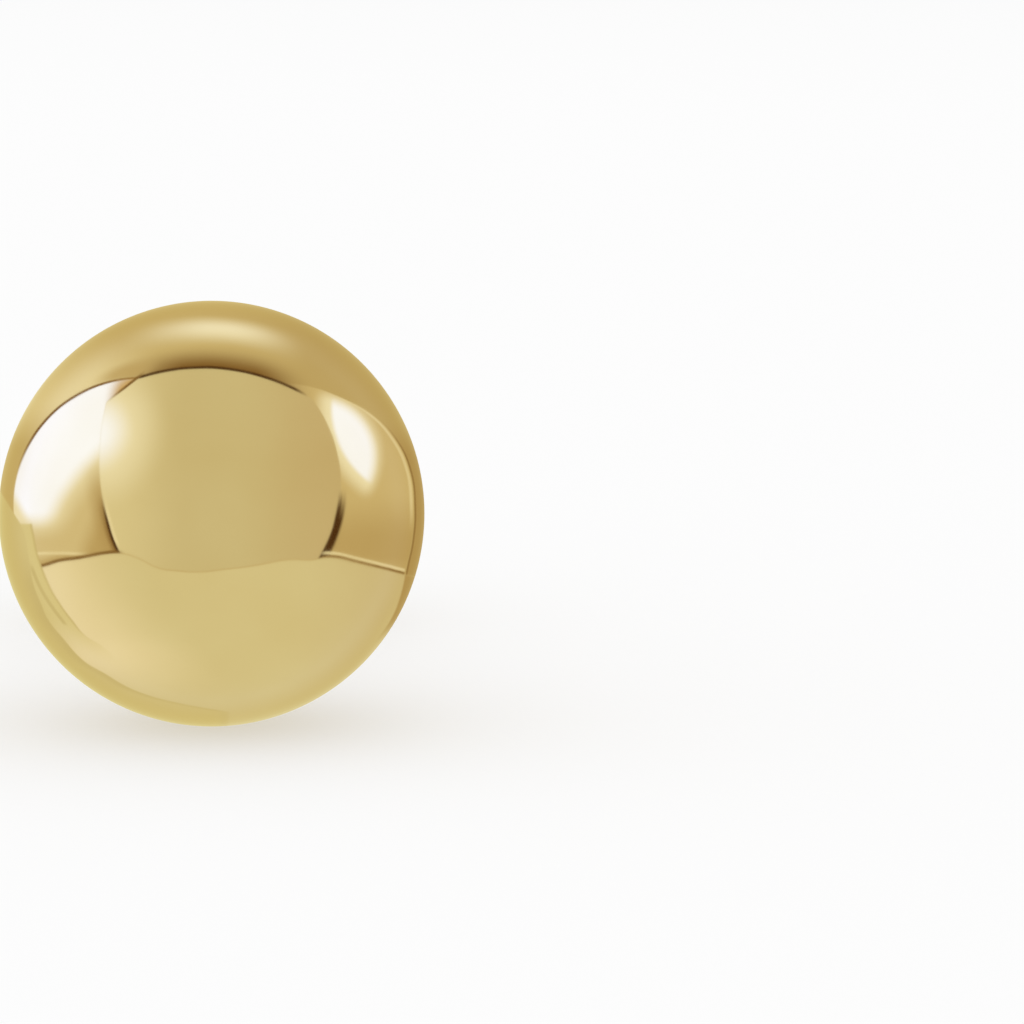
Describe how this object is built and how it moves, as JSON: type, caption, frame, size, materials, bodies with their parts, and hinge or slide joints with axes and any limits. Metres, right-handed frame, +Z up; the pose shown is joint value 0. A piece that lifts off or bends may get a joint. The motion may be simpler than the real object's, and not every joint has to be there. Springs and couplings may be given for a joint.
{
  "type": "ball stud earring",
  "caption": "Polished gold ball earring with a soldered straight post and a butterfly ear nut, lying at rest.",
  "frame": {"origin": "on the table, under the middle of the stud's box as it lies", "axes": "+Z up; -Y the way the ball's front faces, tilted up by about 9.5 degrees; the post runs back along +Y and down; +X to the right as seen from the front"},
  "size_m": [0.008, 0.0178, 0.008],
  "materials": {
    "polished_gold": "mirror polished yellow gold",
    "sheet_gold": "tumbled bright yellow gold sheet"
  },
  "bodies": {
    "root": {"ball_and_post": "polished_gold", "ear_nut": "sheet_gold"}
  },
  "joints": []
}
